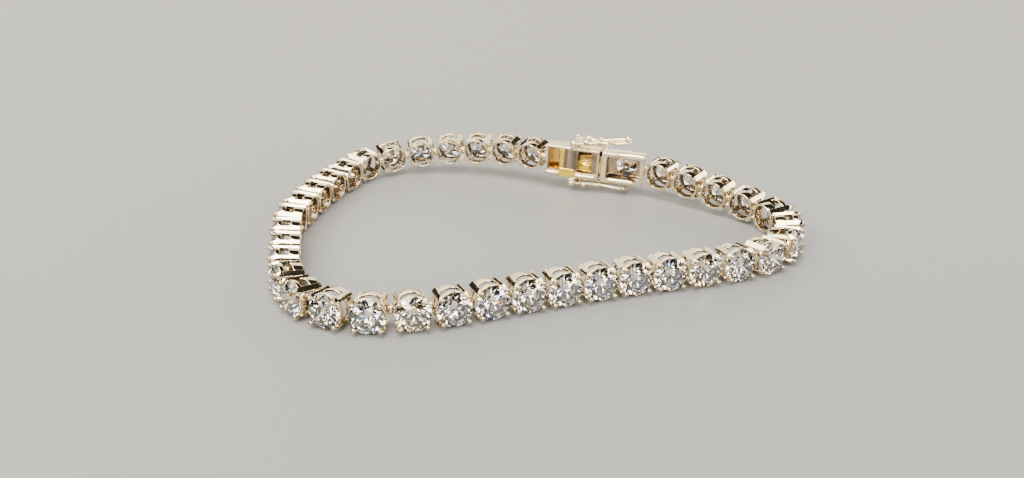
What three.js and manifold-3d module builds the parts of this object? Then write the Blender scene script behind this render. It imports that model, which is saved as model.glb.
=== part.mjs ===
// A seven-inch tennis bracelet: 37 claw-set round brilliants hinged into a
// closed loop, fastened by a box clasp that carries three more stones and two
// figure-eight safety catches. It lies on its edge with the stones facing out.
//
// Millimetres, +Z up. The origin is on the floor under the middle of the loop.
// In every setting's own frame x runs along the chain, y points out through
// the stone, z is square to both, and y = 0 is the line through the hinges.

import * as THREE from 'three';
import { mergeVertices } from 'three/addons/utils/BufferGeometryUtils.js';
import Module from 'manifold-3d';

const wasm = await Module();
wasm.setup();

// ---- driving dimensions -------------------------------------------------

// Round brilliant
const stoneRadius = 2.0;
const tableRadius = 1.12;
const crownHeight = 0.6;
const girdleThickness = 0.12;
const pavilionDepth = 1.72;
const girdleHeight = 1.8;
const facetCount = 8;

// Setting: a tapered basket under the stone and four claws
const ringSides = 8;
const frontRadius = 2.1;
const backRadius = 1.9;
const settingBack = -1.1;
const settingFront = 1.8;
const basket = { top: 1.6, innerBack: 1.55, innerTop: 1.9 };
const claw = {
  width: 0.68, footLift: 0.05, footReach: 2.27, reach: 2.34, tip: 2.55, hook: 1.9,
  girdleGap: 0.07, ledge: 0.04,
};
// How deep joined pieces run into each other
const overlap = 0.1;

// Chain
const linkCount = 37;
const linksPerRun = 3;
const jointGap = 0.14;
const knuckle = { reach: 0.68, depth: 0.7, height: 1.1 };

// Clasp
const clasp = { back: -1.15, front: 1.1, halfHeight: 2.25, wall: 0.4, knuckleHeight: 1.4 };
const box = { left: -7.1, right: 0.65, stones: [-4.8, -0.5] };
const boxWindows = [
  { left: -6.7, right: -5.05, bottom: -1.4, top: 1.8 },
  { left: -2.5, right: -0.4, bottom: -1.4, top: 1.8 },
];
const boxLip = { left: -2.7, right: 0.1, back: -1.45, bottom: -2.15, top: -1.6 };
const endHalf = { left: 0.95, right: 7.0, stones: [4.3] };
const endWindow = { left: 1.75, right: 6.5, bottom: -1.5, top: 1.75 };
const tongue = { tip: -4.3, root: 1.4, halfHeight: 1.2, leaf: 0.2, back: -0.62, front: -0.1, gap: 0.06 };

// Safety catches
const catchHinge = -3.1;
const catchPlate = { near: 0.35, thickness: 0.5, lobeRadius: 1.2, wire: 0.45, waist: 0.46 };
const catchNeck = { length: 0.9, halfWidth: 0.5 };
const catchLobes = { first: 1.75, second: 6.9 };
const catchThumb = { radius: 0.55, height: 0.9, inset: 0.5 };
const catchPin = { radius: 0.26, height: 0.62, bore: 0.34, barrel: 0.52, width: 1.3 };
const catchEar = { thickness: 0.45, gap: 0.1, radius: 0.55, halfWidth: 0.5 };
const stud = { neckRadius: 0.22, headRadius: 0.34, height: 1.05 };
// The upper catch stands a little open; the lower one is shut against the floor
const upperCatchOpen = THREE.MathUtils.degToRad(8);
// The clasp lies a little askew, its box end higher than its other end
const claspTilt = THREE.MathUtils.degToRad(3);

// The loop's hinge line seen from above, from the clasp's box end round to its
// other end. The chain climbs to the clasp over the last stretch at both ends.
const route = [
  { x: 4.8, y: 19.6 },
  { x: -0.8, y: 22.6 },
  { x: -4.9, y: 24.0 },
  { x: -9.2, y: 24.9 },
  { x: -13.4, y: 25.0 },
  { x: -17.6, y: 24.0 },
  { x: -21.2, y: 21.6 },
  { x: -24.9, y: 14.4 },
  { x: -26.8, y: 8.0 },
  { x: -27.9, y: 1.0 },
  { x: -26.8, y: -7.5 },
  { x: -25.1, y: -15.7 },
  { x: -21.6, y: -20.9 },
  { x: -15.5, y: -23.3 },
  { x: -9.0, y: -22.4 },
  { x: 1.2, y: -18.6 },
  { x: 13.7, y: -14.3 },
  { x: 26.0, y: -10.7 },
  { x: 31.7, y: -7.4 },
  { x: 34.2, y: -2.3 },
  { x: 33.7, y: 2.1 },
  { x: 31.5, y: 5.6 },
  { x: 28.0, y: 8.7 },
  { x: 19.1, y: 15.55 },
];
const climbLength = { boxEnd: 36, farEnd: 22 };
const floorGap = 0.02;

// ---- materials ----------------------------------------------------------

const whiteMetal = new THREE.MeshStandardMaterial({ color: 0xd9d4cb, metalness: 1, roughness: 0.18 });
const goldMetal = new THREE.MeshStandardMaterial({ color: 0xe0c070, metalness: 1, roughness: 0.25 });
const clearStone = new THREE.MeshStandardMaterial({ color: 0xf2f4f7, metalness: 0, roughness: 0.03 });

// ---- solids -------------------------------------------------------------

function toSolid(geometry) {
  const bare = geometry.clone();
  bare.deleteAttribute('normal');
  bare.deleteAttribute('uv');
  const merged = mergeVertices(bare, 1e-4);
  const mesh = new wasm.Mesh({
    numProp: 3,
    vertProperties: new Float32Array(merged.attributes.position.array),
    triVerts: new Uint32Array(merged.index.array),
  });
  return new wasm.Manifold(mesh);
}

function toMesh(name, solid, material) {
  const { vertProperties, triVerts } = solid.getMesh();
  const geometry = new THREE.BufferGeometry();
  geometry.setAttribute('position', new THREE.BufferAttribute(new Float32Array(vertProperties), 3));
  geometry.setIndex(new THREE.BufferAttribute(new Uint32Array(triVerts), 1));
  geometry.computeVertexNormals();
  const mesh = new THREE.Mesh(geometry, material);
  mesh.name = name;
  return mesh;
}

const joined = (solids) => solids.reduce((whole, solid) => whole.add(solid));

function block(x0, x1, y0, y1, z0, z1) {
  const geometry = new THREE.BoxGeometry(x1 - x0, y1 - y0, z1 - z0);
  return toSolid(geometry.translate((x0 + x1) / 2, (y0 + y1) / 2, (z0 + z1) / 2));
}

// A ring or cone turned about the stone's axis, from [radius, y] points. Its
// flats face up, down and along the chain, and the radii are to the flats.
function turned(points, sides = ringSides) {
  const toCorner = 1 / Math.cos(Math.PI / sides);
  const outline = points.map(([radius, y]) => new THREE.Vector2(radius * toCorner, y));
  return toSolid(new THREE.LatheGeometry(outline, sides).rotateY(Math.PI / sides));
}

// A round bar along y, from y0 to y1
function pin(radius, x, z, y0, y1, sides = 8) {
  const geometry = new THREE.CylinderGeometry(radius, radius, y1 - y0, sides);
  return toSolid(geometry.translate(x, (y0 + y1) / 2, z));
}

// ---- stone and setting --------------------------------------------------

function stoneGeometry() {
  const halfGirdle = girdleThickness / 2;
  const outline = [
    [0, girdleHeight - halfGirdle - pavilionDepth],
    [stoneRadius, girdleHeight - halfGirdle],
    [stoneRadius, girdleHeight + halfGirdle],
    [tableRadius, girdleHeight + halfGirdle + crownHeight],
    [0, girdleHeight + halfGirdle + crownHeight],
  ];
  const points = outline.map(([radius, y]) => new THREE.Vector2(radius, y));
  return new THREE.LatheGeometry(points, facetCount);
}

const flankSlope = (frontRadius - backRadius) / (settingFront - settingBack);
const flankRadius = (y) => backRadius + (y - settingBack) * flankSlope;

// Flat-bottomed rings whose taper makes the whole setting lean back a little
const settingLean = Math.atan(flankSlope);
const settingHeight = flankRadius(0) * Math.cos(settingLean);

// The thumb ball of the lower safety catch lies on the floor and holds the clasp up
const thumbReach = catchHinge + catchLobes.second + catchPlate.lobeRadius - catchThumb.inset;
const thumbDrop = (clasp.halfHeight + catchThumb.height) * Math.cos(claspTilt)
  + thumbReach * Math.sin(claspTilt);
const claspHeight = thumbDrop + catchThumb.radius + floorGap;

// The basket from a given depth forwards, open at the back as on the real thing
function basketSolid(back) {
  const share = (back - settingBack) / (basket.top - settingBack);
  const inner = THREE.MathUtils.lerp(basket.innerBack, basket.innerTop, share);
  return turned([
    [inner, back],
    [flankRadius(back), back],
    [flankRadius(basket.top), basket.top],
    [basket.innerTop, basket.top],
    [inner, back],
  ]);
}

// Side view of a claw, drawn as radius and height: it runs up the basket's
// flank, stands outside the girdle and its tip hooks in over the crown.
function clawSolid(foot, angle) {
  const { width, footReach, reach, tip, hook, girdleGap, ledge } = claw;
  const underGirdle = girdleHeight - girdleThickness / 2 - ledge;
  const share = (foot - settingBack) / (underGirdle - settingBack);
  const profile = new THREE.Shape([
    new THREE.Vector2(flankRadius(foot) - overlap, foot),
    new THREE.Vector2(THREE.MathUtils.lerp(footReach, reach, share), foot),
    new THREE.Vector2(reach, underGirdle),
    new THREE.Vector2(reach, tip),
    new THREE.Vector2(hook, tip),
    new THREE.Vector2(stoneRadius + girdleGap, underGirdle),
    new THREE.Vector2(flankRadius(basket.top) - overlap, basket.top),
  ]);
  const geometry = new THREE.ExtrudeGeometry(profile, { depth: width, bevelEnabled: false, steps: 1 });
  geometry.translate(0, 0, -width / 2);
  geometry.rotateY(angle);
  return toSolid(geometry);
}

function settingSolid(back) {
  const foot = back + claw.footLift;
  const claws = [0, 1, 2, 3].map((quarter) => clawSolid(foot, Math.PI / 4 + (quarter * Math.PI) / 2));
  return joined([basketSolid(back), ...claws]);
}

const linkSolid = settingSolid(settingBack);

// ---- the loop -----------------------------------------------------------

const boxEnd = new THREE.Vector2(route[0].x, route[0].y);
const farEnd = new THREE.Vector2(route.at(-1).x, route.at(-1).y);
const claspMiddle = boxEnd.clone().add(farEnd).multiplyScalar(0.5);
const claspReach = boxEnd.distanceTo(farEnd) / 2;

const hingeLine = new THREE.CatmullRomCurve3(
  route.map(({ x, y }) => new THREE.Vector3(x, y, 0)),
  false,
  'centripetal',
);
hingeLine.arcLengthDivisions = 2000;
const chainLength = hingeLine.getLength();
const linkPitch = chainLength / linkCount;

// How far the chain has climbed towards the clasp at a distance along it
function climb(distance) {
  const { smoothstep } = THREE.MathUtils;
  const slope = claspReach * Math.sin(claspTilt);
  const toBox = smoothstep(1 - distance / climbLength.boxEnd, 0, 1);
  const toFarEnd = smoothstep(1 - (chainLength - distance) / climbLength.farEnd, 0, 1);
  const rise = claspHeight - settingHeight;
  return toBox * (rise + slope) + toFarEnd * (rise - slope);
}

function chainPoint(distance) {
  const point = hingeLine.getPointAt(distance / chainLength);
  point.z = settingHeight + climb(distance);
  return point;
}

// Frame of a setting or knuckle: x along the chain, y out of the loop
function chainFrame(distance) {
  const step = linkPitch / 2;
  const behind = chainPoint(Math.max(0, distance - step));
  const ahead = chainPoint(Math.min(chainLength, distance + step));
  const along = ahead.sub(behind).normalize();
  const up = new THREE.Vector3(0, 0, 1);
  const outward = new THREE.Vector3().crossVectors(along, up).normalize();
  const side = new THREE.Vector3().crossVectors(along, outward);
  const frame = new THREE.Matrix4().makeBasis(along, outward, side);
  frame.multiply(new THREE.Matrix4().makeRotationX(-settingLean));
  return frame.setPosition(chainPoint(distance));
}

const linkFrames = Array.from({ length: linkCount }, (_, index) => chainFrame((index + 0.5) * linkPitch));

function knuckleSolid(jointIndex, forward, backward) {
  const bar = block(
    -backward, forward, -knuckle.depth / 2, knuckle.depth / 2, -knuckle.height / 2, knuckle.height / 2,
  );
  return bar.transform(chainFrame(jointIndex * linkPitch).elements);
}

// A run is a few settings joined by their knuckles. Its last knuckle reaches
// towards the next run and stops just short of it.
function runSolid(first, last) {
  const pieces = linkFrames.slice(first, last + 1).map((frame) => linkSolid.transform(frame.elements));
  const shortReach = linkPitch / 2 - flankRadius(knuckle.depth / 2) - jointGap;
  for (let joint = first + 1; joint <= last; joint += 1) {
    pieces.push(knuckleSolid(joint, knuckle.reach, knuckle.reach));
  }
  if (last + 1 < linkCount) {
    pieces.push(knuckleSolid(last + 1, shortReach, knuckle.reach));
  }
  return joined(pieces);
}

// ---- clasp --------------------------------------------------------------

function claspStones(places) {
  return places.map((x) => stoneGeometry().translate(x, 0, 0));
}

// Stone settings on the front of a clasp part, with the wall bored behind them
function withSettings(body, places) {
  const settings = places.map((x) => settingSolid(clasp.front - clasp.wall / 2).translate([x, 0, 0]));
  const bores = places.map((x) => turned([
    [0, clasp.front - clasp.wall - overlap],
    [basket.innerBack, clasp.front - clasp.wall - overlap],
    [basket.innerBack, clasp.front + overlap],
    [0, clasp.front + overlap],
  ]).translate([x, 0, 0]));
  return joined([body, ...settings]).subtract(joined(bores));
}

const claspShell = (left, right) => block(
  left, right, clasp.back, clasp.front, -clasp.halfHeight, clasp.halfHeight,
);

const claspHollow = (left, right) => block(
  left, right,
  clasp.back + clasp.wall, clasp.front - clasp.wall,
  -clasp.halfHeight + clasp.wall, clasp.halfHeight - clasp.wall,
);

const claspWindow = ({ left, right, bottom, top }) => block(
  left, right, clasp.back - overlap, clasp.back + clasp.wall + overlap, bottom, top,
);

// Two ears and a pin on one side of the box for a safety catch (side: 1 above, -1 below)
function catchBearing(side) {
  const height = side * (clasp.halfHeight + catchPin.height);
  const inner = catchPin.width / 2 + catchEar.gap;
  const outer = inner + catchEar.thickness;
  const ears = [-1, 1].flatMap((end) => {
    const y0 = Math.min(end * inner, end * outer);
    const y1 = y0 + catchEar.thickness;
    const foot = side * (clasp.halfHeight - overlap);
    return [
      pin(catchEar.radius, catchHinge, height, y0, y1),
      block(
        catchHinge - catchEar.halfWidth, catchHinge + catchEar.halfWidth, y0, y1,
        Math.min(foot, height), Math.max(foot, height),
      ),
    ];
  });
  return [...ears, pin(catchPin.radius, catchHinge, height, -inner - overlap, inner + overlap)];
}

// Bar between a clasp part and the hinge of the link next to it
const claspKnuckle = (x0, x1) => block(
  x0, x1, -knuckle.depth / 2, knuckle.depth / 2, -clasp.knuckleHeight / 2, clasp.knuckleHeight / 2,
);

function boxSolid() {
  const lip = block(
    boxLip.left, boxLip.right, boxLip.back, clasp.back + overlap, boxLip.bottom, boxLip.top,
  );
  const body = claspShell(box.left, box.right)
    .subtract(claspHollow(box.left + clasp.wall, box.right + overlap))
    .subtract(joined(boxWindows.map(claspWindow)));
  return joined([
    withSettings(body, box.stones), lip, claspKnuckle(jointGap - claspReach, box.left + overlap),
    ...catchBearing(1), ...catchBearing(-1),
  ]);
}

// The spring tongue: a strip folded back on itself. Its root sits in the end
// half and its fold lies inside the box.
function tongueSolid() {
  const { tip, root, leaf, back, front, halfHeight } = tongue;
  const fold = new THREE.Shape([
    new THREE.Vector2(root, back),
    new THREE.Vector2(root, back + leaf),
    new THREE.Vector2(tip + leaf, back + leaf),
    new THREE.Vector2(tip + leaf, front - leaf),
    new THREE.Vector2(root, front - leaf),
    new THREE.Vector2(root, front),
    new THREE.Vector2(tip + leaf / 2, front),
    new THREE.Vector2(tip, (back + front) / 2),
    new THREE.Vector2(tip + leaf / 2, back),
  ]);
  const geometry = new THREE.ExtrudeGeometry(fold, { depth: 2 * halfHeight, bevelEnabled: false, steps: 1 });
  return toSolid(geometry.translate(0, 0, -halfHeight));
}

// Headed stud that a safety catch's waist closes over
function studSolids(side) {
  const x = catchHinge + (catchLobes.first + catchLobes.second) / 2;
  const foot = clasp.halfHeight - overlap;
  const length = stud.height + overlap;
  const neck = new THREE.CylinderGeometry(stud.neckRadius, stud.neckRadius, length, 8).rotateX(Math.PI / 2);
  const head = new THREE.SphereGeometry(stud.headRadius, 8, 5).rotateX(Math.PI / 2);
  return [
    toSolid(neck.translate(x, 0, side * (foot + length / 2))),
    toSolid(head.translate(x, 0, side * (clasp.halfHeight + stud.height))),
  ];
}

// The half that carries the tongue. Its front edge is cut back where the box's
// last setting overhangs it.
function endHalfSolid() {
  const window = block(
    endWindow.left, endWindow.right, clasp.back - overlap, clasp.front - clasp.wall,
    endWindow.bottom, endWindow.top,
  );
  const settingEdge = box.stones.at(-1) + frontRadius / Math.cos(Math.PI / ringSides) + overlap;
  const relief = block(
    endHalf.left - overlap, settingEdge, clasp.front - clasp.wall, clasp.front + overlap,
    -clasp.halfHeight - overlap, clasp.halfHeight + overlap,
  );
  const { root, back, front, halfHeight, gap } = tongue;
  const pocket = block(
    endHalf.left - overlap, root + gap, back - gap, front + gap, -halfHeight - gap, halfHeight + gap,
  );
  const body = claspShell(endHalf.left, endHalf.right).subtract(joined([window, relief, pocket]));
  return joined([
    withSettings(body, endHalf.stones), claspKnuckle(endHalf.right - overlap, claspReach - jointGap),
    ...studSolids(1), ...studSolids(-1),
  ]);
}

// Outline of a figure eight of two lobes with a pinched waist between them
function eightOutline(Path, radius, waist) {
  const { first, second } = catchLobes;
  const middle = (first + second) / 2;
  const lift = Math.PI / 3;
  const inset = radius * Math.cos(lift);
  const height = radius * Math.sin(lift);
  const pinch = 2 * waist - height;
  const outline = new Path();
  outline.absarc(first, 0, radius, lift, 2 * Math.PI - lift, false);
  outline.quadraticCurveTo(middle, -pinch, second - inset, -height);
  outline.absarc(second, 0, radius, lift - Math.PI, Math.PI - lift, false);
  outline.quadraticCurveTo(middle, pinch, first + inset, height);
  return outline;
}

// Safety catch above the clasp, drawn from its hinge at x = 0
function catchSolid() {
  const { lobeRadius, wire, waist, near, thickness } = catchPlate;
  const shape = eightOutline(THREE.Shape, lobeRadius, waist + wire);
  shape.holes.push(eightOutline(THREE.Path, lobeRadius - wire, waist));
  const plate = new THREE.ExtrudeGeometry(shape, {
    depth: thickness, bevelEnabled: false, steps: 1, curveSegments: 5,
  });
  plate.translate(0, 0, near);
  const barrel = pin(catchPin.barrel, 0, catchPin.height, -catchPin.width / 2, catchPin.width / 2);
  const bore = pin(catchPin.bore, 0, catchPin.height, -catchPin.width, catchPin.width);
  const thumb = new THREE.SphereGeometry(catchThumb.radius, 10, 6).rotateX(Math.PI / 2);
  thumb.translate(catchLobes.second + lobeRadius - catchThumb.inset, 0, catchThumb.height);
  const neck = block(
    0, catchNeck.length, -catchNeck.halfWidth, catchNeck.halfWidth, near, near + thickness,
  );
  return joined([toSolid(plate), neck, barrel, toSolid(thumb)]).subtract(bore);
}

// ---- assembly -----------------------------------------------------------

const bracelet = new THREE.Group();

linkFrames.forEach((frame, index) => {
  const stone = toSolid(stoneGeometry()).transform(frame.elements);
  bracelet.add(toMesh(`stone_${String(index + 1).padStart(2, '0')}`, stone, clearStone));
});

for (let first = 0, run = 1; first < linkCount; first += linksPerRun, run += 1) {
  const last = Math.min(first + linksPerRun, linkCount) - 1;
  bracelet.add(toMesh(`chain_run_${String(run).padStart(2, '0')}`, runSolid(first, last), whiteMetal));
}

const claspGroup = new THREE.Group();
claspGroup.position.set(claspMiddle.x, claspMiddle.y, claspHeight);
claspGroup.rotation.set(0, claspTilt, farEnd.clone().sub(boxEnd).angle(), 'ZYX');
claspGroup.add(toMesh('clasp_box', boxSolid(), whiteMetal));
claspGroup.add(toMesh('clasp_end', endHalfSolid(), whiteMetal));
claspGroup.add(toMesh('clasp_tongue', tongueSolid(), goldMetal));
claspStones([...box.stones, ...endHalf.stones]).forEach((geometry, index) => {
  claspGroup.add(toMesh(`clasp_stone_${index + 1}`, toSolid(geometry), clearStone));
});

function placedCatch(name, side, openAngle) {
  const mesh = toMesh(name, catchSolid(), whiteMetal);
  mesh.position.z = -catchPin.height;
  const hinge = new THREE.Group();
  hinge.add(mesh);
  hinge.rotation.y = -openAngle;
  hinge.position.set(catchHinge, 0, clasp.halfHeight + catchPin.height);
  const flank = new THREE.Group();
  flank.rotation.x = side > 0 ? 0 : Math.PI;
  flank.add(hinge);
  return flank;
}

claspGroup.add(placedCatch('upper_catch', 1, upperCatchOpen));
claspGroup.add(placedCatch('lower_catch', -1, 0));
bracelet.add(claspGroup);

// Origin under the middle of the loop
const extent = new THREE.Box3().setFromObject(bracelet, true);
const middle = extent.getCenter(new THREE.Vector3());
bracelet.position.set(-middle.x, -middle.y, 0);

export default bracelet;
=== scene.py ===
import math

import bmesh
import bpy
import numpy as np
from mathutils import Matrix, Vector


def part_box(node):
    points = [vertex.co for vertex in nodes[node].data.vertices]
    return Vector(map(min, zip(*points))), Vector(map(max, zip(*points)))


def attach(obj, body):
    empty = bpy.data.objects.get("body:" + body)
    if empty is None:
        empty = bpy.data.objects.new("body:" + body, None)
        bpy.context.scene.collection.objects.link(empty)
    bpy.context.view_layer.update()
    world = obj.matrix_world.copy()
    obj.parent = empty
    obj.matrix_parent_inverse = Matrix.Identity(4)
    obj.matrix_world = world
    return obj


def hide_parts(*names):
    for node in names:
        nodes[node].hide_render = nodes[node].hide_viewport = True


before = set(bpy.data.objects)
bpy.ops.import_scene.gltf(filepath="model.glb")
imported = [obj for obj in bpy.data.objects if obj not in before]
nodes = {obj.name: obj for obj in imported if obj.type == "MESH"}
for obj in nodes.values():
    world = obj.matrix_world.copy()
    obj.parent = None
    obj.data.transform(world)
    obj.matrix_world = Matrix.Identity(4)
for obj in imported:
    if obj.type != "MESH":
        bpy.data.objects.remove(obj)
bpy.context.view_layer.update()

mm = 0.001
# Masters are modelled one unit to the millimetre and shrunk when they are placed
toMetres = Matrix.Scale(mm, 4)
print("frame loaded:", len(nodes), "nodes")


# small helpers for adding, cutting and copying pieces

def selectOnly(pieces):
    bpy.ops.object.select_all(action="DESELECT")
    for piece in pieces:
        piece.select_set(True)
    bpy.context.view_layer.objects.active = pieces[0]


def named(name):
    # names the piece just added and moves its place into its mesh
    piece = bpy.context.object
    piece.name = name
    bpy.ops.object.transform_apply(location=True, rotation=True, scale=True)
    return piece


def addBlock(name, low, high):
    middle = (Vector(low) + Vector(high)) / 2
    size = Vector(high) - Vector(low)
    bpy.ops.mesh.primitive_cube_add(size=1, location=middle, scale=size)
    return named(name)


def addBar(name, radius, start, end, sides=24):
    run = Vector(end) - Vector(start)
    turn = run.to_track_quat("Z", "Y").to_euler()
    middle = (Vector(start) + Vector(end)) / 2
    bpy.ops.mesh.primitive_cylinder_add(
        vertices=sides, radius=radius, depth=run.length, location=middle, rotation=turn)
    return named(name)


def addBall(name, radius, place, stretch=(1, 1, 1)):
    bpy.ops.mesh.primitive_uv_sphere_add(
        segments=20, ring_count=12, radius=radius, location=place, scale=stretch)
    return named(name)


def applyModifier(piece, kind, **values):
    selectOnly([piece])
    modifier = piece.modifiers.new(kind, kind)
    for name, value in values.items():
        setattr(modifier, name, value)
    bpy.ops.object.modifier_apply(modifier=modifier.name)


def soften(piece, width, segments=2, angle=35):
    applyModifier(piece, "BEVEL", width=width, segments=segments, limit_method="ANGLE",
                  angle_limit=math.radians(angle))


def cutAway(piece, cutter):
    applyModifier(piece, "BOOLEAN", operation="DIFFERENCE", solver="EXACT", object=cutter)
    bpy.data.objects.remove(cutter)


def joinAs(name, pieces):
    selectOnly(pieces)
    bpy.ops.object.join()
    pieces[0].name = name
    return pieces[0]


def smooth(piece, angle=38):
    selectOnly([piece])
    bpy.ops.object.shade_smooth_by_angle(angle=math.radians(angle))


def copyTo(master, name, matrix):
    piece = master.copy()
    piece.data = master.data.copy()
    piece.name = name
    bpy.context.scene.collection.objects.link(piece)
    piece.data.transform(matrix)
    return piece


def editing(piece):
    selectOnly([piece])
    bpy.ops.object.mode_set(mode="EDIT")
    bpy.ops.mesh.select_all(action="SELECT")
    return bmesh.from_edit_mesh(piece.data)


def pickFaces(piece, wanted):
    # in edit mode, selects only the faces for which wanted(face) is true
    bm = bmesh.from_edit_mesh(piece.data)
    bpy.ops.mesh.select_all(action="DESELECT")
    for face in bm.faces:
        if wanted(face):
            face.select_set(True)
    bmesh.update_edit_mesh(piece.data)


def doneEditing():
    bpy.ops.object.mode_set(mode="OBJECT")


# finishes

def newMaterial(name):
    material = bpy.data.materials.new(name)
    material.use_nodes = True
    tree = material.node_tree
    return material, tree.nodes, tree.links, tree.nodes["Principled BSDF"]


polish = {
    "wornFrom": 0.42, "wornTo": 0.68, "lineFrom": 0.6, "lineTo": 0.72, "scuff": 0.12, "ripples": 750,
    # two families of hairlines, stretched across each other: scale and lean
    "hairlines": [((9000, 700, 9000), 0.6), ((800, 9000, 7000), -0.4)], "slant": 0.3,
}


def buildHandPolish():
    # worn hand polish: faint blotches, hairline scratches and a softly uneven surface
    group = bpy.data.node_groups.new("handPolish", "ShaderNodeTree")
    for name, kind in [
        ("Bright Color", "NodeSocketColor"), ("Worn Color", "NodeSocketColor"),
        ("Bright Roughness", "NodeSocketFloat"), ("Worn Roughness", "NodeSocketFloat"),
        ("Blotch Scale", "NodeSocketFloat"), ("Scratch Depth", "NodeSocketFloat"),
        ("Ripple Depth", "NodeSocketFloat"),
    ]:
        group.interface.new_socket(name, in_out="INPUT", socket_type=kind)
    for name, kind in [
        ("Color", "NodeSocketColor"), ("Roughness", "NodeSocketFloat"), ("Normal", "NodeSocketVector"),
    ]:
        group.interface.new_socket(name, in_out="OUTPUT", socket_type=kind)
    add, link = group.nodes.new, group.links.new
    given, result = add("NodeGroupInput"), add("NodeGroupOutput")
    place = add("ShaderNodeTexCoord")

    blotch = add("ShaderNodeTexNoise")
    blotch.inputs["Detail"].default_value = 3
    link(place.outputs["Object"], blotch.inputs["Vector"])
    link(given.outputs["Blotch Scale"], blotch.inputs["Scale"])
    worn = add("ShaderNodeMapRange")
    worn.inputs["From Min"].default_value = polish["wornFrom"]
    worn.inputs["From Max"].default_value = polish["wornTo"]
    link(blotch.outputs["Fac"], worn.inputs["Value"])

    color = add("ShaderNodeMix")
    color.data_type = "RGBA"
    link(worn.outputs["Result"], color.inputs["Factor"])
    link(given.outputs["Bright Color"], color.inputs["A"])
    link(given.outputs["Worn Color"], color.inputs["B"])
    link(color.outputs["Result"], result.inputs["Color"])

    scratches = []
    for stretch, lean in polish["hairlines"]:
        lay = add("ShaderNodeMapping")
        lay.inputs["Scale"].default_value = stretch
        lay.inputs["Rotation"].default_value = (polish["slant"], lean, lean)
        link(place.outputs["Object"], lay.inputs["Vector"])
        line = add("ShaderNodeTexNoise")
        line.inputs["Scale"].default_value = 1
        line.inputs["Detail"].default_value = 1
        link(lay.outputs["Vector"], line.inputs["Vector"])
        thin = add("ShaderNodeMapRange")
        thin.inputs["From Min"].default_value = polish["lineFrom"]
        thin.inputs["From Max"].default_value = polish["lineTo"]
        link(line.outputs["Fac"], thin.inputs["Value"])
        scratches.append(thin)
    both = add("ShaderNodeMath")
    both.operation = "MAXIMUM"
    link(scratches[0].outputs["Result"], both.inputs[0])
    link(scratches[1].outputs["Result"], both.inputs[1])

    rough = add("ShaderNodeMix")
    link(worn.outputs["Result"], rough.inputs["Factor"])
    link(given.outputs["Bright Roughness"], rough.inputs["A"])
    link(given.outputs["Worn Roughness"], rough.inputs["B"])
    scuffed = add("ShaderNodeMath")
    scuffed.operation = "MULTIPLY_ADD"
    scuffed.inputs[1].default_value = polish["scuff"]
    link(both.outputs["Value"], scuffed.inputs[0])
    link(rough.outputs["Result"], scuffed.inputs[2])
    link(scuffed.outputs["Value"], result.inputs["Roughness"])

    ripple = add("ShaderNodeTexNoise")
    ripple.inputs["Scale"].default_value = polish["ripples"]
    ripple.inputs["Detail"].default_value = 1
    link(place.outputs["Object"], ripple.inputs["Vector"])
    wavy = add("ShaderNodeBump")
    wavy.inputs["Strength"].default_value = 1
    link(ripple.outputs["Fac"], wavy.inputs["Height"])
    link(given.outputs["Ripple Depth"], wavy.inputs["Distance"])
    fine = add("ShaderNodeBump")
    fine.invert = True
    fine.inputs["Strength"].default_value = 1
    link(both.outputs["Value"], fine.inputs["Height"])
    link(given.outputs["Scratch Depth"], fine.inputs["Distance"])
    link(wavy.outputs["Normal"], fine.inputs["Normal"])
    link(fine.outputs["Normal"], result.inputs["Normal"])
    return group


handPolish = buildHandPolish()


def buildMetal(name, settings):
    material, add, link, shader = newMaterial(name)
    worked = add.new("ShaderNodeGroup")
    worked.node_tree = handPolish
    for socket, value in settings.items():
        worked.inputs[socket].default_value = value
    shader.inputs["Metallic"].default_value = 1
    link.new(worked.outputs["Color"], shader.inputs["Base Color"])
    link.new(worked.outputs["Roughness"], shader.inputs["Roughness"])
    link.new(worked.outputs["Normal"], shader.inputs["Normal"])
    return material


whiteMetal = buildMetal("whiteMetal", {
    "Bright Color": (0.86, 0.75, 0.53, 1), "Worn Color": (0.73, 0.60, 0.38, 1),
    "Bright Roughness": 0.05, "Worn Roughness": 0.11,
    "Blotch Scale": 420, "Scratch Depth": 0.0000006, "Ripple Depth": 0.000012,
})
# painted shade: a dark copy of the white metal for the insides of the baskets and the clasp halves
paintedShadeMetal = buildMetal("paintedShadeMetal", {
    "Bright Color": (0.40, 0.31, 0.21, 1), "Worn Color": (0.22, 0.16, 0.10, 1),
    "Bright Roughness": 0.16, "Worn Roughness": 0.3,
    "Blotch Scale": 700, "Scratch Depth": 0.0000015, "Ripple Depth": 0.00003,
})
# painted shade: a darker copy of the white metal, giving the beads dark cores like reflections of dark
# surroundings
shadedBeadMetal = buildMetal("shadedBeadMetal", {
    "Bright Color": (0.56, 0.47, 0.33, 1), "Worn Color": (0.42, 0.34, 0.23, 1),
    "Bright Roughness": 0.03, "Worn Roughness": 0.08,
    "Blotch Scale": 420, "Scratch Depth": 0.0000006, "Ripple Depth": 0.00001,
})
# painted shade: a darker copy of the gold, for gold parts inside the box
shadedGold = buildMetal("shadedGold", {
    "Bright Color": (0.72, 0.48, 0.13, 1), "Worn Color": (0.45, 0.28, 0.07, 1),
    "Bright Roughness": 0.14, "Worn Roughness": 0.26,
    "Blotch Scale": 700, "Scratch Depth": 0.000002, "Ripple Depth": 0.00003,
})
goldMetal = buildMetal("goldMetal", {
    "Bright Color": (1.0, 0.75, 0.09, 1), "Worn Color": (0.95, 0.61, 0.05, 1),
    "Bright Roughness": 0.22, "Worn Roughness": 0.32,
    "Blotch Scale": 500, "Scratch Depth": 0.000002, "Ripple Depth": 0.00002,
})

brushing = {
    "strokes": (5200, 5200, 160), "smoothest": 0.22, "roughest": 0.42,
    # place on the ramp and color, dark and light
    "tones": [(0.36, (0.17, 0.13, 0.10, 1)), (0.66, (0.50, 0.41, 0.31, 1))],
}


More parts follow.
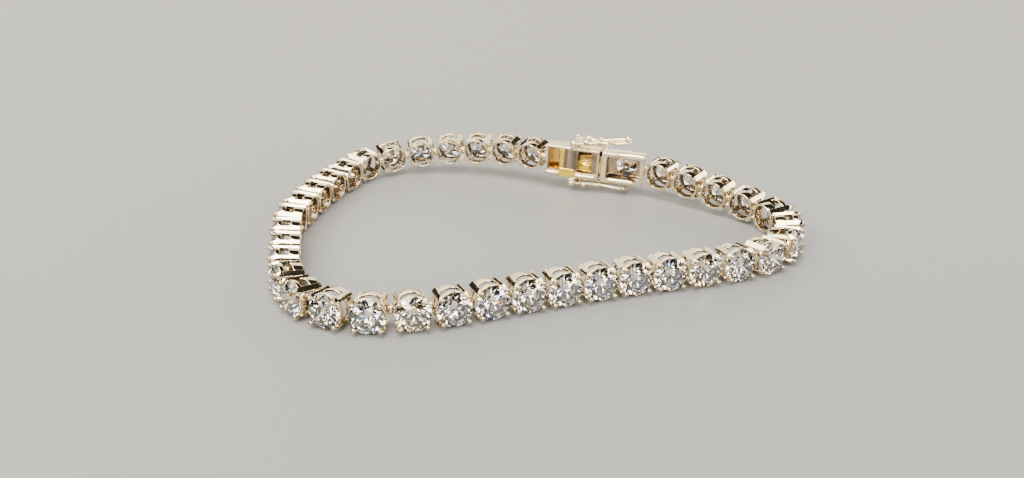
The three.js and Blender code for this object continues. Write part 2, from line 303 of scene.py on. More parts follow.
def buildBrushed():
    # the same metal left brushed, with upright strokes
    material, add, link, shader = newMaterial("brushedMetal")
    place, lay = add.new("ShaderNodeTexCoord"), add.new("ShaderNodeMapping")
    lay.inputs["Scale"].default_value = brushing["strokes"]
    link.new(place.outputs["Object"], lay.inputs["Vector"])
    stroke = add.new("ShaderNodeTexNoise")
    stroke.inputs["Scale"].default_value = 1
    stroke.inputs["Detail"].default_value = 2
    link.new(lay.outputs["Vector"], stroke.inputs["Vector"])
    color = add.new("ShaderNodeValToRGB")
    for stop, (position, tone) in zip(color.color_ramp.elements, brushing["tones"]):
        stop.position = position
        stop.color = tone
    link.new(stroke.outputs["Fac"], color.inputs["Fac"])
    link.new(color.outputs["Color"], shader.inputs["Base Color"])
    rough = add.new("ShaderNodeMapRange")
    rough.inputs["To Min"].default_value = brushing["smoothest"]
    rough.inputs["To Max"].default_value = brushing["roughest"]
    link.new(stroke.outputs["Fac"], rough.inputs["Value"])
    link.new(rough.outputs["Result"], shader.inputs["Roughness"])
    shader.inputs["Metallic"].default_value = 1
    return material


brushedMetal = buildBrushed()

stoneFinish = {
    "ior": 2.3, "flecks": 1300, "grit": 9000, "groundFrom": 0.25, "groundTo": 0.5,
    # painted fire: blue and warm glints painted into the colour; place on the ramp and color, from blue
    # through white to orange
    "fire": [
        (0.0, (0.18, 0.36, 1.0, 1)), (0.15, (0.95, 0.96, 1.0, 1)), (0.68, (1.0, 0.97, 0.90, 1)),
        (0.88, (1.0, 0.74, 0.32, 1)), (1.0, (1.0, 0.50, 0.18, 1)),
    ],
}


def buildStone():
    # clear stone: each facet carries its own painted shade, with painted fire, warm and blue glints
    # painted into the colour
    material, add, link, shader = newMaterial("clearStone")
    shader.inputs["Transmission Weight"].default_value = 1
    shader.inputs["Metallic"].default_value = 0
    shader.inputs["Roughness"].default_value = 0
    shader.inputs["IOR"].default_value = stoneFinish["ior"]
    place = add.new("ShaderNodeTexCoord")
    # painted fire: random cells pick their glint colour off the ramp
    cells = add.new("ShaderNodeTexVoronoi")
    cells.inputs["Scale"].default_value = stoneFinish["flecks"]
    link.new(place.outputs["Object"], cells.inputs["Vector"])
    hue = add.new("ShaderNodeSeparateColor")
    link.new(cells.outputs["Color"], hue.inputs["Color"])
    fire = add.new("ShaderNodeValToRGB")
    first, *between, last = stoneFinish["fire"]
    ramp = fire.color_ramp.elements
    ramp[0].position, ramp[0].color = first
    ramp[1].position, ramp[1].color = last
    for position, color in between:
        ramp.new(position).color = color
    link.new(hue.outputs["Red"], fire.inputs["Fac"])
    facet = add.new("ShaderNodeAttribute")
    facet.attribute_name = "facetShade"
    tint = add.new("ShaderNodeMix")
    tint.data_type = "RGBA"
    tint.blend_type = "MULTIPLY"
    tint.inputs["Factor"].default_value = 1
    link.new(fire.outputs["Color"], tint.inputs["A"])
    link.new(facet.outputs["Color"], tint.inputs["B"])
    link.new(tint.outputs["Result"], shader.inputs["Base Color"])
    return material


clearStone = buildStone()


def buildGirdle():
    # the fine ground band round each stone
    material, add, link, shader = newMaterial("groundGirdle")
    shader.inputs["Transmission Weight"].default_value = 1
    shader.inputs["Metallic"].default_value = 0
    shader.inputs["IOR"].default_value = stoneFinish["ior"]
    place = add.new("ShaderNodeTexCoord")
    grit = add.new("ShaderNodeTexNoise")
    grit.inputs["Scale"].default_value = stoneFinish["grit"]
    link.new(place.outputs["Object"], grit.inputs["Vector"])
    spread = add.new("ShaderNodeMapRange")
    spread.inputs["To Min"].default_value = stoneFinish["groundFrom"]
    spread.inputs["To Max"].default_value = stoneFinish["groundTo"]
    link.new(grit.outputs["Fac"], spread.inputs["Value"])
    link.new(spread.outputs["Result"], shader.inputs["Roughness"])
    return material


groundGirdle = buildGirdle()
print("finishes mixed")


def dress(piece, *materials):
    # faces keep their own number in this list of finishes
    for material in materials:
        piece.data.materials.append(material)


def finishPiece(piece, body, slotName, *replaced):
    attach(piece, body)
    if replaced:
        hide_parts(*replaced)


# Every setting's frame is read off its own stone: x along the chain, z out
# through the table, y square to both, and z = 0 on the line through the hinges.

stoneSeat = {
    "culet": 0.02,  # from the hinge line out to the stone's point
    "corner": 0.95,  # share of the stone's reach past which its points are the girdle's corners
}


def stoneMiddle(node):
    low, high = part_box(node)
    return (low + high) / 2


def settingFrame(node, neighbour, side=1):
    # a stone is shortest along its axis, and its point is farther from its middle than its table
    points = np.unique(np.round([vertex.co for vertex in nodes[node].data.vertices], 7), axis=0)
    spread = points - points.mean(0)
    outward = np.linalg.svd(spread)[2][2]
    if (spread @ outward).max() > -(spread @ outward).min():
        outward = -outward
    heights = spread @ outward
    culet = Vector(points[heights.argmin()])
    # one corner of the girdle points along the chain
    across = spread - np.outer(heights, outward)
    reach = np.linalg.norm(across, axis=1)
    corners = across[reach > stoneSeat["corner"] * reach.max()]
    towards = side * (stoneMiddle(neighbour) - stoneMiddle(node))
    along = Vector(corners[(corners @ np.array(towards)).argmax()]).normalized()
    outward = Vector(outward)
    up = outward.cross(along).normalized()
    place = Matrix((up.cross(outward), up, outward)).transposed().to_4x4()
    place.translation = culet - outward * stoneSeat["culet"] * mm
    return place


chainStones = sorted(name for name in nodes if name.startswith("stone_"))
claspStones = sorted(name for name in nodes if name.startswith("clasp_stone_"))
chainRuns = sorted(name for name in nodes if name.startswith("chain_run_"))
linksPerRun = math.ceil(len(chainStones) / len(chainRuns))

linkFrames = [settingFrame(a, b) for a, b in zip(chainStones, chainStones[1:])]
linkFrames.append(settingFrame(chainStones[-1], chainStones[-2], side=-1))
claspStoneFrames = [settingFrame(a, b) for a, b in zip(claspStones, claspStones[1:])]
claspStoneFrames.append(settingFrame(claspStones[-1], claspStones[-2], side=-1))


def jointFrame(before, after):
    # a hinge halfway between two neighbours on the chain
    along = (after.translation - before.translation).normalized()
    outward = before.col[2].xyz + after.col[2].xyz
    up = outward.cross(along).normalized()
    place = Matrix((along, up, along.cross(up))).transposed().to_4x4()
    place.translation = (before.translation + after.translation) / 2
    return place


hingeFrames = [jointFrame(a, b) for a, b in zip(linkFrames, linkFrames[1:])]

brilliant = {
    "radius": 2.0, "girdleLow": 1.74, "girdleHigh": 1.86, "table": 2.46, "blankFoot": -0.2,
    "crownSlope": 34.5, "starSlope": 21.6, "upperSlope": 41.05, "starReach": 1.041,
    "pavilionSlope": 40.8, "lowerSlope": 41.95, "blank": 64, "weld": 0.0008,
    # facets flatter than this are the table, and those nearer upright than this the girdle; tableShade and
    # mainShade are painted shade on the table and on the long lower facets
    "flat": 0.98, "upright": 0.2, "tableShade": 0.94, "mainShade": 0.82,
}


def cutFacets(stone, slope, count, firstTurn, reach, level, side):
    # grinds one row of flat facets onto the blank; side is 1 on the crown, -1 below
    for index in range(count):
        turn = math.radians(firstTurn + index * 360 / count)
        tilt = math.radians(slope)
        outward = Vector((math.cos(turn), math.sin(turn), 0))
        editing(stone)
        bpy.ops.mesh.bisect(
            plane_co=outward * reach + Vector((0, 0, level)),
            plane_no=outward * math.sin(tilt) + Vector((0, 0, side * math.cos(tilt))),
            use_fill=True, clear_outer=True, threshold=0.0001)
        bpy.ops.mesh.select_all(action="SELECT")
        bpy.ops.mesh.remove_doubles(threshold=brilliant["weld"])
        doneEditing()


def facetPaintedShade(face):
    # painted shade: the table and the eight long facets below are painted darker than the rest
    b = brilliant
    tilt = math.degrees(math.acos(max(-1, min(1, abs(face.normal.z)))))
    if face.normal.z > b["flat"]:
        return b["tableShade"]
    if face.normal.z < 0 and tilt < (b["pavilionSlope"] + b["lowerSlope"]) / 2:
        return b["mainShade"]
    return 1


def cutBrilliant():
    b = brilliant
    half = 360 / 32
    halfReach = b["radius"] * math.cos(math.radians(half))
    stone = addBar("brilliant", b["radius"], (0, 0, b["blankFoot"]), (0, 0, b["table"]), b["blank"])
    cutFacets(stone, b["crownSlope"], 8, 0, b["radius"], b["girdleHigh"], 1)
    cutFacets(stone, b["starSlope"], 8, 2 * half, b["starReach"], b["table"], 1)
    cutFacets(stone, b["upperSlope"], 16, half, halfReach, b["girdleHigh"], 1)
    cutFacets(stone, b["pavilionSlope"], 8, 0, b["radius"], b["girdleLow"], -1)
    cutFacets(stone, b["lowerSlope"], 16, half, halfReach, b["girdleLow"], -1)
    # painted shade for each facet, kept in the facetShade attribute
    shade = stone.data.attributes.new("facetShade", "FLOAT_COLOR", "CORNER")
    for face in stone.data.polygons:
        face.material_index = 1 if abs(face.normal.z) < b["upright"] else 0
        depth = facetPaintedShade(face)
        for corner in face.loop_indices:
            shade.data[corner].color = (depth, depth, depth, 1)
    return stone


brilliantMaster = cutBrilliant()
dress(brilliantMaster, clearStone, groundGirdle)
print("stone cut:", len(brilliantMaster.data.polygons), "faces")

basket = {
    "backLow": -1.1, "backHigh": 0.1, "backWall": 0.26,
    "seatLow": 1.12, "seatHigh": 1.7, "seatWall": 0.2,
    "radiusBack": 1.9, "radiusFront": 2.1, "frontLevel": 1.8, "sides": 48, "edge": 0.08,
    # painted shade darkens the inside, lying this far in from the flank, between these levels
    "shadeInset": 0.09, "shadeLow": -1.05, "shadeHigh": 1.6,
}
claw = {
    "thick": 0.22, "wide": 0.36, "edge": 0.2, "foot": 0.02,
    "bead": 0.31, "beadReach": 2.05, "beadLevel": 2.27, "beadSkin": 1.03,
    # level, distance from the stone's axis, and share of the full width
    "steps": [
        (-1.08, 1.99, 1), (0, 2.03, 1), (1.2, 2.09, 1), (1.6, 2.12, 1),
        (1.9, 2.12, 0.78), (2.15, 2.07, 0.55),
    ],
}


def flankRadius(level):
    share = (level - basket["backLow"]) / (basket["frontLevel"] - basket["backLow"])
    return basket["radiusBack"] + share * (basket["radiusFront"] - basket["radiusBack"])


def turnRing(name, low, high, wall):
    # a tapered band: an open tube widened at its top edge, thickened inwards and rounded
    bpy.ops.mesh.primitive_cylinder_add(
        vertices=basket["sides"], radius=flankRadius(low), depth=high - low,
        end_fill_type="NOTHING", location=(0, 0, (low + high) / 2))
    ring = named(name)
    bm = editing(ring)
    bpy.ops.mesh.select_all(action="DESELECT")
    for vertex in bm.verts:
        vertex.select_set(vertex.co.z > (low + high) / 2)
    bmesh.update_edit_mesh(ring.data)
    wider = flankRadius(high) / flankRadius(low)
    bpy.ops.transform.resize(value=(wider, wider, 1), center_override=(0, 0, high))
    doneEditing()
    applyModifier(ring, "SOLIDIFY", thickness=wall, offset=-1)
    soften(ring, basket["edge"], 3, 40)
    return ring


def drawClaw():
    # a flat-sided bar drawn up the flank and bent in over the stone, ending in a bead
    (foot, reach, width), *rest = claw["steps"]
    bpy.ops.mesh.primitive_cube_add(
        size=2, location=(reach, 0, foot + claw["foot"]),
        scale=(claw["thick"], claw["wide"], claw["foot"]))
    bar = named("claw")
    editing(bar)
    pickFaces(bar, lambda face: face.normal.z > 0.9)
    level = foot + 2 * claw["foot"]
    for nextLevel, nextReach, nextWidth in rest:
        bpy.ops.mesh.extrude_region_move(
            TRANSFORM_OT_translate={"value": (nextReach - reach, 0, nextLevel - level)})
        bpy.ops.transform.resize(
            value=(1, nextWidth / width, 1), center_override=(nextReach, 0, nextLevel))
        level, reach, width = nextLevel, nextReach, nextWidth
    doneEditing()
    soften(bar, claw["edge"], 4, 50)
    bead = addBall("bead", claw["bead"], (claw["beadReach"], 0, claw["beadLevel"]), (1, 1, 0.95))
    return joinAs("claw", [bar, bead])


def settingFinish(face):
    # 0 polished, 1 painted shade on the inside of the basket, 2 the beads, painted darker for dark
    # reflections
    x, y, z = face.center
    side = claw["beadReach"] / math.sqrt(2)
    fromBead = math.dist((abs(x), abs(y), z), (side, side, claw["beadLevel"]))
    if fromBead < claw["bead"] * claw["beadSkin"]:
        return 2
    inside = math.hypot(x, y) < flankRadius(z) - basket["shadeInset"]
    return 1 if inside and basket["shadeLow"] < z < basket["shadeHigh"] else 0


def buildSetting():
    b = basket
    parts = [
        turnRing("backRing", b["backLow"], b["backHigh"], b["backWall"]),
        turnRing("seatRing", b["seatLow"], b["seatHigh"], b["seatWall"]),
    ]
    bar = drawClaw()
    for quarter in range(4):
        turn = Matrix.Rotation(math.radians(45 + 90 * quarter), 4, "Z")
        parts.append(copyTo(bar, "claw", turn))
    bpy.data.objects.remove(bar)
    setting = joinAs("setting", parts)
    for face in setting.data.polygons:
        face.material_index = settingFinish(face)
    # the second finish is painted shade on the insides, the third painted dark reflection on the beads
    dress(setting, whiteMetal, paintedShadeMetal, shadedBeadMetal)
    return setting


settingMaster = buildSetting()


def trimmedSetting(level):
    # the front of a setting, for the clasp's face
    front = copyTo(settingMaster, "frontSetting", Matrix())
    editing(front)
    bpy.ops.mesh.bisect(plane_co=(0, 0, level), plane_no=(0, 0, -1), use_fill=True, clear_outer=True)
    doneEditing()
    return front


hinge = {
    "half": 0.68, "height": 0.56, "depth": 0.6, "edge": 0.1,
    "knob": 0.54, "knobHalf": 0.46, "drill": 0.1, "drillDepth": 0.22,
    "pin": 0.17, "pinReach": 0.53, "pinStretch": (1, 0.6, 1),
}


def buildHinge():
    # a round knob on a flat tab, drilled front and back, with the pin's ends above and below
    h = hinge
    tab = addBlock(
        "hinge", (-h["half"], -h["height"] / 2, -h["depth"] / 2),
        (h["half"], h["height"] / 2, h["depth"] / 2))
    soften(tab, h["edge"], 3)
    knob = addBall("knob", h["knob"], (0, 0, 0), (1, 1, h["knobHalf"] / h["knob"]))
    for side in (-1, 1):
        face = side * h["knobHalf"]
        bottom, top = face - side * h["drillDepth"], face + side * h["drill"]
        cutAway(knob, addBar("drill", h["drill"], (0, 0, bottom), (0, 0, top), 16))
    ends = [addBall("pinEnd", h["pin"], (0, side * h["pinReach"], 0), h["pinStretch"]) for side in (-1, 1)]
    return joinAs("hinge", [tab, knob, *ends])


hingeMaster = buildHinge()
dress(hingeMaster, whiteMetal)
print("setting and hinge modelled")

for number, node in enumerate(chainStones):
    stone = copyTo(brilliantMaster, f"brilliant_{number + 1:02d}", linkFrames[number] @ toMetres)
    finishPiece(stone, "bracelet", "stone", node)

for number, node in enumerate(chainRuns):
    first = number * linksPerRun
    last = min(first + linksPerRun, len(linkFrames))
    parts = [copyTo(settingMaster, "link", place @ toMetres) for place in linkFrames[first:last]]
    parts += [copyTo(hingeMaster, "tab", place @ toMetres) for place in hingeFrames[first:last]]
    run = joinAs(f"settings_{number + 1:02d}", parts)
    smooth(run)
    finishPiece(run, "bracelet", "white_metal", node)

print("chain assembled:", len(linkFrames), "links")

# The clasp's frame has x from the box to the far half, y out of the loop and z up.

clasp = {
    "back": -1.15, "front": 1.1, "half": 2.25, "wall": 0.4, "edge": 0.16, "reach": 7.43,
    "middleStone": -0.5, "boxLeft": -7.1, "boxRight": 0.65, "endLeft": 0.95, "endRight": 7.0,
    # left, right, bottom, top
    "panel": (-6.8, 0.35, -1.45, 1.95), "panelDepth": 0.18, "panelCorner": 0.12,
    "windows": [(-6.65, -5.1, -1.35, 1.85), (-2.45, -0.45, -1.35, 1.8)],
    "windowDepth": 0.6, "windowCorner": 0.18,
    "endWindow": (1.7, 6.5, -1.5, 1.75), "endCorner": 0.25,
    "bore": 1.5, "boreDepth": 0.7, "settingDepth": 0.15,
    "clear": 0.5,  # how far every cutter stands out of the metal
    "skin": 0.05,  # faces deeper than this inside a half get painted shade
    # the far half is cut back for the tongue, and at its front for the box's second setting
    "slotRight": 1.48, "slotBack": -0.7, "slotHalf": 1.3, "reliefRight": 1.87,
    # the tab to the hinge beside each half, and the flattening of its knob
    "tabLap": 0.1, "tabDepth": 0.35, "tabHalf": 0.6, "tabEdge": 0.12, "knobStretch": (1, 0.85, 1),
}
# round bars along the back: radius, left, right, depth and level
rails = {
    "box": [(0.28, -2.72, 0.2, -1.23, -1.75), (0.34, -7.05, -4.95, -1.01, -1.86)],
    "end": [(0.5, 3.1, 7.15, -0.73, 2.0), (0.42, 1.95, 5.8, -1.03, -1.78)],
    "rounding": 0.75,
}


def claspFrame():
    along = claspStoneFrames[1].col[0].xyz
    outward = claspStoneFrames[1].col[2].xyz
    place = Matrix((along, outward, along.cross(outward))).transposed().to_4x4()
    place.translation = claspStoneFrames[1].translation - along * clasp["middleStone"] * mm
    return place


claspPlace = claspFrame()
claspStoneSpots = [
    (claspPlace.inverted() @ place.translation).x / mm for place in claspStoneFrames
]


def seatBore(x):
    c = clasp
    return addBar(
        "bore", c["bore"], (x, c["front"] - c["boreDepth"], 0), (x, c["front"] + c["clear"], 0), 40)


def claspShell(name, left, right):
    shell = addBlock(name, (left, clasp["back"], -clasp["half"]), (right, clasp["front"], clasp["half"]))
    soften(shell, clasp["edge"], 4)
    return shell


def windowCutter(edges, front, corner):
    left, right, bottom, top = edges
    cutter = addBlock("window", (left, clasp["back"] - clasp["clear"], bottom), (right, front, top))
    soften(cutter, corner, 3)
    return cutter


def paintShadeInside(half, left, right):
    # painted shade: the walls inside a clasp half are painted as dark as the insides of the baskets
    c, skin = clasp, clasp["skin"]
    for face in half.data.polygons:
        x, y, z = face.center
        inside = left + skin < x < right - skin and c["back"] + skin < y < c["front"] - skin
        if inside and abs(z) < c["half"] - skin:
            face.material_index = 1


def claspSettings(spots):
    front = trimmedSetting(clasp["front"] - clasp["settingDepth"])
    outwards = Matrix.Rotation(math.radians(-90), 4, "X")
    parts = [copyTo(front, "claspSetting", Matrix.Translation((x, 0, 0)) @ outwards) for x in spots]
    bpy.data.objects.remove(front)
    return parts


def roundedRail(name, radius, start, end):
    rail = addBar(name, radius, start, end, 20)
    soften(rail, radius * rails["rounding"], 4)
    return rail


def claspRails(half):
    return [
        roundedRail("rail", radius, (left, depth, level), (right, depth, level))
        for radius, left, right, depth, level in rails[half]
    ]


def joinHalf(name, parts):
    for part in parts:
        if not part.data.materials:
            # the second finish is painted shade for the inner walls
            dress(part, whiteMetal, paintedShadeMetal)
    return joinAs(name, parts)


# The catch lies along x from its hinge, over the flank of the clasp.

catch = {
    "hinge": -3.1, "pinLevel": 0.62, "pin": 0.26, "pinLap": 0.1,
    "headRadius": 0.299, "headStretch": (1, 0.6, 1),
    "barrel": 0.5, "barrelWidth": 1.26, "barrelEdge": 0.05, "bore": 0.33,
    "lugGap": 0.12, "lugThick": 0.42, "lugRadius": 0.53, "lugEdge": 0.07, "lugRoot": 0.95,
    "lobes": (1.75, 6.9), "lobeRadius": 0.97, "waist": 0.69, "waistShare": 0.8,
    "level": 0.6, "wire": 0.26, "points": 72,
    "neckStart": 0.35, "neckEnd": 1.0, "thumb": 0.55, "thumbAt": (7.6, 0, 0.9),
    "studRoot": 0.1, "studHeight": 1.05, "studNeck": 0.22, "studHead": 0.34,
    "curlAt": 1.4, "curl": 0.42, "curlWire": 0.17, "armStart": 0.3, "armSide": 1.0, "armLevel": 0.7,
    # place along the catch, distance to the side, level and radius
    "beads": [(0, 1.4, 0.72, 0.44), (1.75, 1.0, 0.78, 0.5), (3.6, 0.78, 0.66, 0.4)],
}
studSpot = catch["hinge"] + sum(catch["lobes"]) / 2


def catchLugs(side):
    # two eyes on posts, and the pin between them
    c = catch
    hingeX, radius = c["hinge"], c["lugRadius"]
    level = side * (clasp["half"] + c["pinLevel"])
    bottom, top = sorted((side * clasp["half"] * c["lugRoot"], level))
    lugs = []
    for end in (-1, 1):
        inner = end * (c["barrelWidth"] / 2 + c["lugGap"])
        outer = inner + end * c["lugThick"]
        near, far = sorted((inner, outer))
        post = addBlock("lugPost", (hingeX - radius, near, bottom), (hingeX + radius, far, top))
        eye = addBar("lugEye", radius, (hingeX, inner, level), (hingeX, outer, level), 28)
        for part in (post, eye):
            soften(part, c["lugEdge"], 2, 50)
        lugs += [post, eye, addBall("pinHead", c["headRadius"], (hingeX, outer, level), c["headStretch"])]
    reach = c["barrelWidth"] / 2 + c["lugGap"] + c["pinLap"]
    lugs.append(addBar("hingePin", c["pin"], (hingeX, -reach, level), (hingeX, reach, level)))
    return lugs


def catchStuds():
    # the headed posts that the catches close over
    c = catch
    studs = []
    for side in (-1, 1):
        root = side * (clasp["half"] - c["studRoot"])
        top = side * (clasp["half"] + c["studHeight"])
        studs.append(addBar("stud", c["studNeck"], (studSpot, 0, root), (studSpot, 0, top), 20))
        studs.append(addBall("studHead", c["studHead"], (studSpot, 0, top)))
    return studs


def claspKnuckle(edge, joint):
    # the tab from a clasp half to the knob at the hinge beside it
    c = clasp
    side = math.copysign(1, joint)
    left, right = sorted((edge - side * c["tabLap"], joint + side * c["tabLap"]))
    tab = addBlock(
        "claspTab", (left, -c["tabDepth"], -c["tabHalf"]), (right, c["tabDepth"], c["tabHalf"]))
    soften(tab, c["tabEdge"], 3)
    knob = addBall("claspKnob", hinge["knob"], (joint, 0, 0), c["knobStretch"])
    return joinAs("claspTab", [tab, knob])


def buildBox():
    c = clasp
    shell = claspShell("claspBox", c["boxLeft"], c["boxRight"])
    cutAway(shell, addBlock(
        "hollow", (c["boxLeft"] + c["wall"], c["back"] + c["wall"], c["wall"] - c["half"]),
        (c["boxRight"] + c["clear"], c["front"] - c["wall"], c["half"] - c["wall"])))
    cutAway(shell, windowCutter(c["panel"], c["back"] + c["panelDepth"], c["panelCorner"]))
    for edges in c["windows"]:
        cutAway(shell, windowCutter(edges, c["back"] + c["windowDepth"], c["windowCorner"]))
    spots = claspStoneSpots[:2]
    for x in spots:
        cutAway(shell, seatBore(x))
    parts = [*claspSettings(spots), *catchLugs(1), *catchLugs(-1), *claspRails("box")]
    return joinHalf("claspBox", [shell, *parts, claspKnuckle(c["boxLeft"], -c["reach"])])


def buildEndHalf():
    c = clasp
    start, innerFront = c["endLeft"] - c["clear"], c["front"] - c["wall"]
    shell = claspShell("claspEnd", c["endLeft"], c["endRight"])
    cutAway(shell, windowCutter(c["endWindow"], innerFront, c["endCorner"]))
    cutAway(shell, addBlock(
        "slot", (start, c["slotBack"], -c["slotHalf"]), (c["slotRight"], 0, c["slotHalf"])))
    cutAway(shell, addBlock(
        "relief", (start, innerFront, -c["half"] - c["clear"]),
        (c["reliefRight"], c["front"] + c["clear"], c["half"] + c["clear"])))
    spots = claspStoneSpots[2:]
    for x in spots:
        cutAway(shell, seatBore(x))
    parts = [*claspSettings(spots), *claspRails("end"), *catchStuds()]
    return joinHalf("claspEnd", [shell, *parts, claspKnuckle(c["endRight"], c["reach"])])


def setInClasp(piece, slotName, *replaced):
    smooth(piece)
    piece.data.transform(claspPlace @ toMetres)
    finishPiece(piece, "bracelet", slotName, *replaced)


claspBox = buildBox()
paintShadeInside(claspBox, clasp["boxLeft"], clasp["boxRight"])
setInClasp(claspBox, "white_metal", "clasp_box")
claspEnd = buildEndHalf()
paintShadeInside(claspEnd, clasp["endLeft"], clasp["endRight"])
setInClasp(claspEnd, "white_metal", "clasp_end")

for number, node in enumerate(claspStones):
    stone = copyTo(brilliantMaster, f"claspBrilliant_{number + 1}", claspStoneFrames[number] @ toMetres)
    finishPiece(stone, "bracelet", "stone", node)

tongue = {
    "tip": -4.2, "root": 1.4, "leaf": 0.2, "back": -0.62, "front": -0.1, "half": 1.2, "leafTop": 0.25,
    "button": (-1.42, -0.66, -0.45), "buttonRadius": 0.92, "buttonStretch": (1, 0.45, 0.85),
    "edge": 0.05,
}


def buildTongue():
    # a gold strip folded back on itself, with a rounded press button on its back leaf
    t = tongue
    strip = addBlock(
        "strip", (t["tip"], t["front"] - t["leaf"], -t["half"]), (t["root"], t["front"], t["half"]))
    back = addBlock(
        "backLeaf", (t["tip"], t["back"], -t["half"]), (t["root"], t["back"] + t["leaf"], t["leafTop"]))
    middle, radius = (t["front"] + t["back"]) / 2, (t["front"] - t["back"]) / 2
    fold = addBar("fold", radius, (t["tip"], middle, -t["half"]), (t["tip"], middle, t["half"]), 28)
    for part in (strip, back):
        soften(part, t["edge"], 2)
    soften(fold, t["edge"], 2, 50)
    button = addBall("button", t["buttonRadius"], t["button"], t["buttonStretch"])
    # painted shade: the inner strip and its fold take the darker gold, as if in shade inside the box; the
    # back leaf and button take the bright gold
    for part, finish in [(back, goldMetal), (button, goldMetal), (strip, shadedGold), (fold, shadedGold)]:
        dress(part, finish)
    return joinAs("springTongue", [back, button, strip, fold])


setInClasp(buildTongue(), "gold_metal", "clasp_tongue")

lining = {"gap": 0.02, "thick": 0.06, "mouth": 0.05}


def buildLining():
    # gilded inside of the box, open at its back, where the windows show it, and at its mouth
    c, thick = clasp, lining["thick"]
    inner = c["wall"] + lining["gap"]
    left, back, bottom = c["boxLeft"] + inner, c["back"] + inner, inner - c["half"]
    right, front, top = c["boxRight"] - lining["mouth"], c["front"] - inner, c["half"] - inner
    tube = addBlock("gildedLining", (left, back, bottom), (right, front, top))
    cutAway(tube, addBlock(
        "inside", (left + thick, back - c["clear"], bottom + thick),
        (right + c["clear"], front - thick, top - thick)))
    # painted shade: the lining takes the darker gold
    dress(tube, shadedGold)
    return tube


setInClasp(buildLining(), "gold_metal")

guide = {
    # left, right, bottom, top, and how far each starts inside the clasp's back
    "bars": [(-5.08, -4.4, -1.6, 1.92, 0.02), (-5.05, -2.85, -2.22, -0.95, -0.06)],
    "depth": 0.3, "edge": 0.12,
}


def buildGuide():
    # gold upright beside the first window, and its broad foot
    bars = []
    for left, right, bottom, top, sink in guide["bars"]:
        bar = addBlock(
            "guideBar", (left, clasp["back"] + sink, bottom), (right, clasp["back"] + guide["depth"], top))
        soften(bar, guide["edge"], 4)
        dress(bar, goldMetal)
        bars.append(bar)
    return joinAs("springGuide", bars)


setInClasp(buildGuide(), "gold_metal")

backPlate = {
    "left": -4.42, "right": -2.6, "bottom": -1.1, "top": 1.88, "stand": 0.03, "thick": 0.16, "edge": 0.04,
}


def buildBackPlate():
    # the brushed plate between the two windows
    p = backPlate
    back = clasp["back"] + p["stand"]
    plate = addBlock(
        "backPlate", (p["left"], back, p["bottom"]), (p["right"], back + p["thick"], p["top"]))
    soften(plate, p["edge"], 2)
    dress(plate, brushedMetal)
    return plate


setInClasp(buildBackPlate(), "white_metal")
print("clasp built")


def figureEightPoint(turn):
    # full lobes at both ends, drawn in to the waist between them
    c = catch
    first, second = c["lobes"]
    half = (second - first) / 2
    x = math.cos(turn) * (half + c["lobeRadius"])
    pinch = (1 + math.cos(math.pi * min(1, abs(x) / (half * c["waistShare"])))) / 2
    width = c["lobeRadius"] - (c["lobeRadius"] - c["waist"]) * pinch
    past = max(0, (abs(x) - half) / c["lobeRadius"])
    y = math.copysign(width * math.sqrt(max(0, 1 - past * past)), math.sin(turn))
    return (first + half + x, y, c["level"])


def bendLoop():
    # the figure-eight, bent from round wire
    c = catch
    bpy.ops.mesh.primitive_circle_add(vertices=c["points"], radius=1, location=(0, 0, 0))
    loop = named("figureEight")
    for index, vertex in enumerate(loop.data.vertices):
        vertex.co = figureEightPoint(2 * math.pi * index / c["points"])
    selectOnly([loop])
    bpy.ops.object.convert(target="CURVE")
    loop = bpy.context.object
    loop.data.bevel_depth = c["wire"]
    loop.data.bevel_resolution = 3
    bpy.ops.object.convert(target="MESH")
    return bpy.context.object


def buildBarrel():
    c = catch
    half, level = c["barrelWidth"] / 2, c["pinLevel"]
    barrel = addBar("barrel", c["barrel"], (0, -half, level), (0, half, level), 32)
    cutAway(barrel, addBar("bore", c["bore"], (0, -2 * half, level), (0, 2 * half, level), 28))
    soften(barrel, c["barrelEdge"], 2, 50)
    return barrel


def curledArm(side):
    # the wire's end, curled round the pin outside the lugs and led back to the first lobe
    c = catch
    y = side * c["curlAt"]
    bpy.ops.mesh.primitive_torus_add(
        location=(0, y, c["pinLevel"]), rotation=(math.pi / 2, 0, 0),
        major_radius=c["curl"], minor_radius=c["curlWire"], major_segments=32, minor_segments=12)
    curl = named("curl")
    lobe = (c["lobes"][0], side * c["armSide"], c["armLevel"])
    return [curl, roundedRail("arm", c["curlWire"], (c["armStart"], y, c["pinLevel"]), lobe)]


def buildCatch():
    # a figure-eight on a hinge barrel, with beads along it and a thumb ball at its far end
    c = catch
    start, end = (c["neckStart"], 0, c["level"]), (c["neckEnd"], 0, c["level"])
    parts = [
        bendLoop(), buildBarrel(), roundedRail("neck", c["wire"], start, end),
        addBall("thumb", c["thumb"], c["thumbAt"]),
    ]
    for side in (-1, 1):
        parts += [addBall("bead", radius, (x, side * y, level)) for x, y, level, radius in c["beads"]]
        parts += curledArm(side)
    whole = joinAs("catch", parts)
    dress(whole, whiteMetal)
    return whole


def hangCatch(name, body, flankTurn, opened):
    # turns about the clasp's length to its flank, and about its own hinge by the angle it stands open
    pinLevel = catch["pinLevel"]
    flank = Matrix.Rotation(math.radians(flankTurn), 4, "X")
    hingeAt = Matrix.Translation((catch["hinge"], 0, clasp["half"] + pinLevel))
    swing = Matrix.Rotation(-math.radians(opened), 4, "Y")
    toHinge = Matrix.Translation((0, 0, -pinLevel))
    piece = copyTo(catchMaster, name, claspPlace @ toMetres @ flank @ hingeAt @ swing @ toHinge)
    smooth(piece)
    finishPiece(piece, body, "white_metal", body)


catchMaster = buildCatch()
hangCatch("upperSafetyCatch", "upper_catch", flankTurn=0, opened=8)
hangCatch("lowerSafetyCatch", "lower_catch", flankTurn=180, opened=0)

for master in (brilliantMaster, settingMaster, hingeMaster, catchMaster):
    bpy.data.objects.remove(master)
print("safety catches hung")

